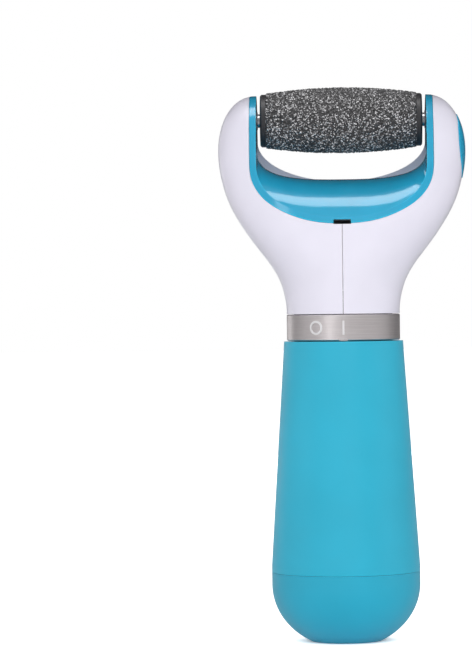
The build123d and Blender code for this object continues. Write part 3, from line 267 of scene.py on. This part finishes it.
def satin_ring():
    """Turned and satin-coated metal: fine circumferential lines, stretched highlights, and edges lighter from
    wear and a painted edge highlight.
    """
    m = Material("satin_ring_metal")
    turning = m.noise(size_mm=0.16, detail=3.0, rough=0.7, vector=m.stretched((0.012, 0.012, 1.0)))
    sparkle = m.noise(size_mm=0.12, detail=1.0)
    base = m.mix(m.spread(turning, 0.0, 1.0), linear(RING_TURNED), linear(RING_POLISHED))
    # edges lighter in colour: partly wear, partly a painted edge highlight
    worn_and_highlit_edges = m.mix(m.edges(radius_mm=0.2), base, linear(RING_EDGE_WEAR_AND_HIGHLIGHT))
    flat = m.node("ShaderNodeVectorMath", operation="MULTIPLY")
    m.link(m.place, flat.inputs[0])
    flat.inputs[1].default_value = (1.0, 1.0, 0.0)
    axis_distance = m.node("ShaderNodeVectorMath", operation="LENGTH")
    m.link(flat.outputs["Vector"], axis_distance.inputs[0])
    band_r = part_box("switch_ring")[1].x
    mark = m.spread(axis_distance.outputs["Value"], 0.0, 1.0, band_r + MARK_STARTS, band_r + MARK_FULL)
    normal = m.bump(turning, depth_mm=0.0035)
    normal = m.bump(sparkle, depth_mm=0.0012, below=normal)
    tangent = m.node("ShaderNodeTangent", direction_type="RADIAL", axis="Z")
    colour = m.mix(mark, worn_and_highlit_edges, linear(RING_MARK))
    m.wire(Base_Color=colour, Roughness=m.spread(turning, low=0.30, high=0.40), Normal=normal)
    m.link(m.spread(mark, 1.0, MARK_METALLIC, 0.0, 1.0), m.shader.inputs["Metallic"])
    m.link(tangent.outputs["Tangent"], m.shader.inputs["Tangent"])
    m.set(Anisotropic=0.55)
    return m.material


def grit():
    """Bonded mineral grit: dark resin, grey grains, and random grains painted near-white as glints."""
    m = Material("abrasive_grit")
    grains = m.cells(size_mm=0.33)
    tone = m.node("ShaderNodeSeparateColor")
    m.link(grains.outputs["Color"], tone.inputs["Color"])
    share = tone.outputs["Red"]
    dark = m.mix(m.spread(share, 0.0, 1.0, 0.0, 1.0), linear(GRIT_RESIN), linear(GRIT_GRAIN))
    # painted glints: the grains with the highest random value get a near-white colour
    bright = m.spread(share, 0.0, 1.0, PAINTED_GLINTS_FROM, PAINTED_GLINTS_FULL)
    speck = m.mix(bright, dark, linear(GRIT_PAINTED_GLINT))
    fine = m.noise(size_mm=0.12, detail=3.0, rough=0.7)
    dusty = m.mix(m.spread(fine, low=0.0, high=0.14), speck, linear(GRIT_DUST))
    m.wire(Base_Color=dusty, Roughness=m.spread(share, 0.62, 0.30, 0.0, 1.0))
    m.link(m.bump(fine, depth_mm=0.05, strength=0.9), m.shader.inputs["Normal"])
    m.set(IOR=1.6)
    return m.material


def circuit_board():
    """Green solder mask over faint tracks."""
    m = Material("board_green")
    tracks = m.node("ShaderNodeTexBrick")
    tracks.inputs["Scale"].default_value = 300.0
    m.link(m.place, tracks.inputs["Vector"])
    mask, track = linear((24, 84, 44)), linear((38, 112, 62))
    m.wire(Base_Color=m.mix(m.spread(tracks.outputs["Fac"], 0.0, 1.0, 0, 1), mask, track))
    m.link(m.bump(tracks.outputs["Fac"], depth_mm=0.03), m.shader.inputs["Normal"])
    m.set(Roughness=0.35, Coat_Weight=0.4)
    return m.material


def windings():
    """Laminated core with lacquered copper wire."""
    m = Material("armature_copper")
    turns = m.noise(size_mm=0.3, detail=1.0, vector=m.stretched((0.05, 1.0, 1.0)))
    lacquer, copper = linear((92, 48, 30)), linear((176, 98, 60))
    m.wire(Base_Color=m.mix(m.spread(turns, 0.0, 1.0), lacquer, copper))
    m.wire(Normal=m.bump(turns, depth_mm=0.08), Roughness=m.spread(turns, low=0.25, high=0.45))
    m.set(Metallic=0.8)
    return m.material


SHELL = moulded_plastic("shell_white", WHITE, 0.34, 0.5, 0.003, coat=0.15, edge_wear_and_highlight=1.04, blotch=0.015)
LINER = moulded_plastic("liner_blue", BLUE_LINER, 0.16, 0.6, 0.002, coat=0.6, edge_wear_and_highlight=1.25)
BUTTON = moulded_plastic("button_blue", BLUE_LINER, 0.26, 0.4, 0.003, coat=0.25, edge_wear_and_highlight=1.2)
GRIP = soft_touch("grip_blue", BLUE_GRIP)
COVER = soft_touch("cover_blue", BLUE_COVER)
RING = satin_ring()
GRIT = grit()
DARK = moulded_plastic("dark_plastic", (48, 47, 50), 0.42, grain_depth=0.006, edge_wear_and_highlight=1.6)
BUSH = moulded_plastic("bush_plastic", (176, 176, 182), 0.3, grain_depth=0.005, edge_wear_and_highlight=1.2)
CORE = moulded_plastic("core_plastic", (200, 200, 203), 0.45)
GEAR = moulded_plastic("gear_acetal", (226, 222, 210), 0.32, grain_mm=0.25)
FRAME = moulded_plastic("frame_plastic", (70, 70, 74), 0.42, edge_wear_and_highlight=1.4)
SLEEVE = moulded_plastic("cell_sleeve", (60, 62, 70), 0.22, coat=0.4, edge_wear_and_highlight=1.3)
WIRE_RED = moulded_plastic("wire_red", (176, 28, 28), 0.4)
WIRE_BLACK = moulded_plastic("wire_black", (34, 34, 36), 0.4)
STEEL = metal("ground_steel", (196, 196, 200), 0.24, lines_scale=(1.0, 0.04, 0.04))
PLATED = metal("plated_steel", (176, 178, 182), 0.34, lines_scale=(0.1, 1.0, 1.0), depth=0.004)
SPRING = metal("spring_wire", (205, 205, 210), 0.22, line_mm=0.1)
BRASS = metal("brass", (206, 168, 96), 0.3, line_mm=0.12)
BOARD = circuit_board()
COPPER = windings()

FINISHES = {
    SHELL: ["head_shell_left", "head_shell_right"],
    LINER: ["fork_liner"],
    BUTTON: ["release_button"],
    GRIP: ["handle_shell"],
    COVER: ["battery_cover"],
    RING: ["switch_ring"],
    GRIT: ["abrasive_sleeve"],
    DARK: [
        "drive_end_cap", "idle_end_cap", "motor_end_bell",
        "switch_wiper", "battery_holder", "contact_carrier",
    ],
    BUSH: ["spindle_bush", "idle_pin_bush"],
    CORE: ["roller_core"],
    GEAR: ["spindle_gear", "idler_gear", "compound_gear"],
    FRAME: ["gear_plate", "motor_cradle", "rocker_lever", "chassis_tube"],
    SLEEVE: ["aa_cells"],
    WIRE_RED: ["motor_lead_red", "battery_lead_red"],
    WIRE_BLACK: ["motor_lead_black", "battery_lead_black"],
    STEEL: [
        "drive_spindle", "idle_pin", "gear_axles", "motor_shaft",
        "rocker_pivot_pin", "liner_screws", "frame_screws",
    ],
    PLATED: ["motor_can"],
    SPRING: ["button_springs", "upper_contact_springs", "lower_contact_springs"],
    BRASS: ["pinion_gear", "motor_terminals", "upper_contacts", "lower_contacts"],
    BOARD: ["switch_board"],
    COPPER: ["motor_armature"],
}


def finish_nodes():
    """Gives every CAD node its material."""
    for material, names in FINISHES.items():
        for name in names:
            mesh = NODES[name].data
            mesh.materials.clear()
            mesh.materials.append(material)
    bare = set(NODES) - {name for names in FINISHES.values() for name in names}
    if bare:
        raise RuntimeError(f"nodes with no material: {sorted(bare)}")


# ---- pieces made here --------------------------------------------------------------------------------------
SEED = 7
AROUND = 560  # mesh points round the sleeve
ALONG = 400  # mesh steps along the sleeve
GRAINS = 11000
GRAIN_MM = (0.26, 0.52)
GRAIN_HEIGHT = (0.35, 1.0)  # share of the relief
GRAIN_LEAN = 0.55  # spread of the slopes of the grains' tops
GRAIN_FLANK = 2.2  # steepness of the grains' sides
GRAIN_CORNER = 0.72  # how much the grains' corners are cut; 1 makes diamonds and 0.5 makes squares
NEAR_GRAINS = 3  # grains that can shape one point of the mesh
RELIEF = 0.55 * MM
LIP = 0.4 * MM  # how far the sleeve's ends stand out past the end caps
BORE_CLEAR = 0.02 * MM


def new_piece(name, vertices, faces, material, body):
    """Mesh piece in the shared frame that rides on a CAD body."""
    mesh = bpy.data.meshes.new(name)
    mesh.from_pydata(vertices, [], faces)
    mesh.materials.append(material)
    mesh.shade_smooth()
    piece = bpy.data.objects.new(name, mesh)
    bpy.context.scene.collection.objects.link(piece)
    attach(piece, body)
    return piece


def grit_sleeve():
    """Barrel of bonded grit: thousands of faceted grains stand on a resin layer."""
    low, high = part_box("abrasive_sleeve")
    half = high.x
    axis_z = (low.z + high.z) / 2
    mid_r = (high.z - low.z) / 2
    end_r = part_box("drive_end_cap")[1].z - axis_z + LIP
    bore_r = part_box("roller_core")[1].z - axis_z + BORE_CLEAR
    rng = np.random.default_rng(SEED)

    def radius(x):
        return end_r + (mid_r - end_r) * (1 - (x / half) ** 2)

    grain_x = rng.uniform(-half, half, GRAINS)
    grain_a = rng.uniform(0, 2 * math.pi, GRAINS)
    grain_size = rng.uniform(*GRAIN_MM, GRAINS) * MM
    grain_height = rng.uniform(*GRAIN_HEIGHT, GRAINS)
    lean = rng.normal(0, GRAIN_LEAN, (GRAINS, 2))
    tree = kdtree.KDTree(GRAINS)
    for i in range(GRAINS):
        r = radius(grain_x[i])
        tree.insert((grain_x[i], r * math.cos(grain_a[i]), r * math.sin(grain_a[i])), i)
    tree.balance()

    def rise_at(x, r, a):
        """Height of the grains at one point, as a share of the relief."""
        rise = 0.0
        for place, index, _ in tree.find_n((x, r * math.cos(a), r * math.sin(a)), NEAR_GRAINS):
            size = grain_size[index]
            du = (x - place.x) / size
            turn = (a - grain_a[index] + math.pi) % (2 * math.pi) - math.pi
            dv = turn * r / size
            top = 1.0 + lean[index, 0] * du + lean[index, 1] * dv
            outward = max(abs(du), abs(dv), GRAIN_CORNER * (abs(du) + abs(dv)))
            flank = max(0.0, min(1.0, GRAIN_FLANK * (1 - outward)))
            rise = max(rise, grain_height[index] * min(top, 1.0) * flank)
        return min(rise, 1.0)

    angles = [2 * math.pi * i / AROUND for i in range(AROUND)]
    vertices = []
    for j in range(ALONG + 1):
        x = half * (2 * j / ALONG - 1)
        r = radius(x)
        for a in angles:
            out = r - RELIEF * (1 - rise_at(x, r, a))
            vertices.append((x, out * math.cos(a), axis_z + out * math.sin(a)))
    for end in (-half, half):
        for a in angles:
            vertices.append((end, bore_r * math.cos(a), axis_z + bore_r * math.sin(a)))

    faces = []
    first, last = 0, ALONG * AROUND
    left_bore, right_bore = last + AROUND, last + 2 * AROUND
    for i in range(AROUND):
        k = (i + 1) % AROUND
        for row in range(first, last, AROUND):
            faces.append((row + i, row + k, row + k + AROUND, row + i + AROUND))
        faces.append((first + i, left_bore + i, left_bore + k, first + k))
        faces.append((last + k, right_bore + k, right_bore + i, last + i))
        faces.append((left_bore + i, right_bore + i, right_bore + k, left_bore + k))
    piece = new_piece("abrasive_grit_sleeve", vertices, faces, GRIT, "roller")
    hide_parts("abrasive_sleeve")


def return_springs():
    """Springs under the button: a copy of the CAD springs with a mesh of their own, riding on the handpiece.
    """
    node = NODES["button_springs"]
    piece = bpy.data.objects.new("button_return_springs", node.data.copy())
    bpy.context.scene.collection.objects.link(piece)
    piece.matrix_world = node.matrix_world
    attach(piece, "handpiece")
    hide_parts("button_springs")
    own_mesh(piece)


# ---- stage, light and camera -------------------------------------------------------------------------------
EYE_Z = 105 * MM
EYE_DISTANCE = 1050 * MM
LENS = 187.0
SENSOR_WIDTH = 36.0
CLIP_START = 0.01
SHIFT = (-0.163, -0.0449)
ROLL = math.radians(0.65)
CENTRE = (0, 0, 0.1)  # middle of the object's height
HEAD = (0, 0, 0.14)
FLOOR_HALF = 6.0
PAINTED_SHADOW_FROM, PAINTED_SHADOW_TO = 9 * MM, 18 * MM  # distance from the axis over which the floor's camera-only glow rises from none to full; this sets the size of the painted contact shadow
BEHIND = 0.5  # how far back a reflection points when it sees only the surround behind


def floor():
    """Plain pale floor that looks as white as the surround through a glow seen by the camera alone; the glow
    fades out near the base, so the contact shadow there is painted shade.
    """
    mesh = bpy.data.meshes.new("floor")
    corners = [(x * FLOOR_HALF, y * FLOOR_HALF, 0) for x, y in ((-1, -1), (1, -1), (1, 1), (-1, 1))]
    mesh.from_pydata(corners, [], [(0, 1, 2, 3)])
    m = Material("floor_pale")
    speck = m.noise(size_mm=3.0, detail=2.0)
    m.wire(Base_Color=m.mix(m.spread(speck, 0, 1), linear((250, 250, 250)), linear((255, 255, 255))))
    distance = m.node("ShaderNodeVectorMath", operation="LENGTH")
    m.link(m.place, distance.inputs[0])
    path = m.node("ShaderNodeLightPath")
    # painted shade: the camera-only glow whitens the floor away from the base and leaves a painted contact
    # shadow near it
    painted_white_glow = m.node("ShaderNodeMath", operation="MULTIPLY")
    m.link(path.outputs["Is Camera Ray"], painted_white_glow.inputs[0])
    m.link(m.spread(distance.outputs["Value"], 0.0, 1.0, PAINTED_SHADOW_FROM, PAINTED_SHADOW_TO), painted_white_glow.inputs[1])
    m.wire(Emission_Strength=painted_white_glow.outputs["Value"])
    m.set(Roughness=0.9, Emission_Color=(1.0, 1.0, 1.0, 1.0))
    mesh.materials.append(m.material)
    sheet = bpy.data.objects.new("floor", mesh)
    bpy.context.scene.collection.objects.link(sheet)


def softbox(name, place, target, width, height, power, mirrored=True, lights=True):
    """Area light at place, facing target. mirrored: it shows in highlights. lights: it lights surfaces."""
    light = bpy.data.lights.new(name, "AREA")
    light.shape = "RECTANGLE"
    light.size = width
    light.size_y = height
    light.energy = power
    lamp = bpy.data.objects.new(name, light)
    lamp.location = place
    lamp.visible_glossy = mirrored
    lamp.visible_diffuse = lights
    lamp.rotation_euler = (Vector(target) - Vector(place)).to_track_quat("-Z", "Y").to_euler()
    bpy.context.scene.collection.objects.link(lamp)


def world(seen, mirrored_front, mirrored_back, lighting):
    """White surround: its strength to the camera, in reflections in front and behind, and as light."""
    w = bpy.data.worlds.new("studio")
    bpy.context.scene.world = w
    w.use_nodes = True
    tree = w.node_tree
    background = tree.nodes["Background"]
    path = tree.nodes.new("ShaderNodeLightPath")
    coords = tree.nodes.new("ShaderNodeTexCoord")
    direction = tree.nodes.new("ShaderNodeSeparateXYZ")
    tree.links.new(coords.outputs["Generated"], direction.inputs[0])
    depth = tree.nodes.new("ShaderNodeMapRange")
    depth.inputs["From Min"].default_value = 0.0
    depth.inputs["From Max"].default_value = BEHIND
    depth.inputs["To Min"].default_value = mirrored_front
    depth.inputs["To Max"].default_value = mirrored_back
    tree.links.new(direction.outputs["Y"], depth.inputs["Value"])
    unseen = tree.nodes.new("ShaderNodeMix")
    unseen.inputs["A"].default_value = lighting
    tree.links.new(depth.outputs["Result"], unseen.inputs["B"])
    tree.links.new(path.outputs["Is Glossy Ray"], unseen.inputs["Factor"])
    strength = tree.nodes.new("ShaderNodeMix")
    strength.inputs["B"].default_value = seen
    tree.links.new(unseen.outputs["Result"], strength.inputs["A"])
    tree.links.new(path.outputs["Is Camera Ray"], strength.inputs["Factor"])
    tree.links.new(strength.outputs["Result"], background.inputs["Strength"])
    background.inputs["Color"].default_value = (1.0, 1.0, 1.0, 1.0)


def camera():
    """Level camera far in front, shifted so that the object stands right of the picture's middle."""
    data = bpy.data.cameras.new("camera")
    data.lens = LENS
    data.sensor_width = SENSOR_WIDTH
    data.shift_x, data.shift_y = SHIFT
    data.clip_start = CLIP_START
    eye = bpy.data.objects.new("camera", data)
    eye.location = (0, -EYE_DISTANCE, EYE_Z)
    eye.rotation_euler = (math.radians(90), ROLL, 0)
    bpy.context.scene.collection.objects.link(eye)
    bpy.context.scene.camera = eye


finish_nodes()
return_springs()
grit_sleeve()
floor()
world(seen=1.0, mirrored_front=0.55, mirrored_back=0.04, lighting=0.3)
softbox("key_front", (0.2, -1.3, 0.3), CENTRE, width=0.9, height=0.9, power=5.9, mirrored=False)
softbox("key_above", (0.05, -0.95, 0.75), HEAD, width=0.7, height=0.5, power=2.0, mirrored=False)
softbox("side_left", (-1.1, -0.35, 0.15), CENTRE, width=0.8, height=0.8, power=3.4, mirrored=False)
softbox("side_right", (1.1, -0.35, 0.15), CENTRE, width=0.8, height=0.8, power=3.5, mirrored=False)
softbox("back", (-0.3, 1.2, 0.08), CENTRE, width=0.9, height=0.7, power=4.0, mirrored=False)
softbox("edge_left", (-0.75, 0.85, 0.1), CENTRE, width=0.4, height=0.9, power=1.2, lights=False)
softbox("strip_left", (-0.52, -1.0, 0.12), CENTRE, width=0.16, height=1.2, power=1.5)
softbox("strip_top", (-0.06, -0.16, 0.8), HEAD, width=0.9, height=0.3, power=3.6, lights=False)
camera()
bpy.context.scene.view_settings.view_transform = "Standard"
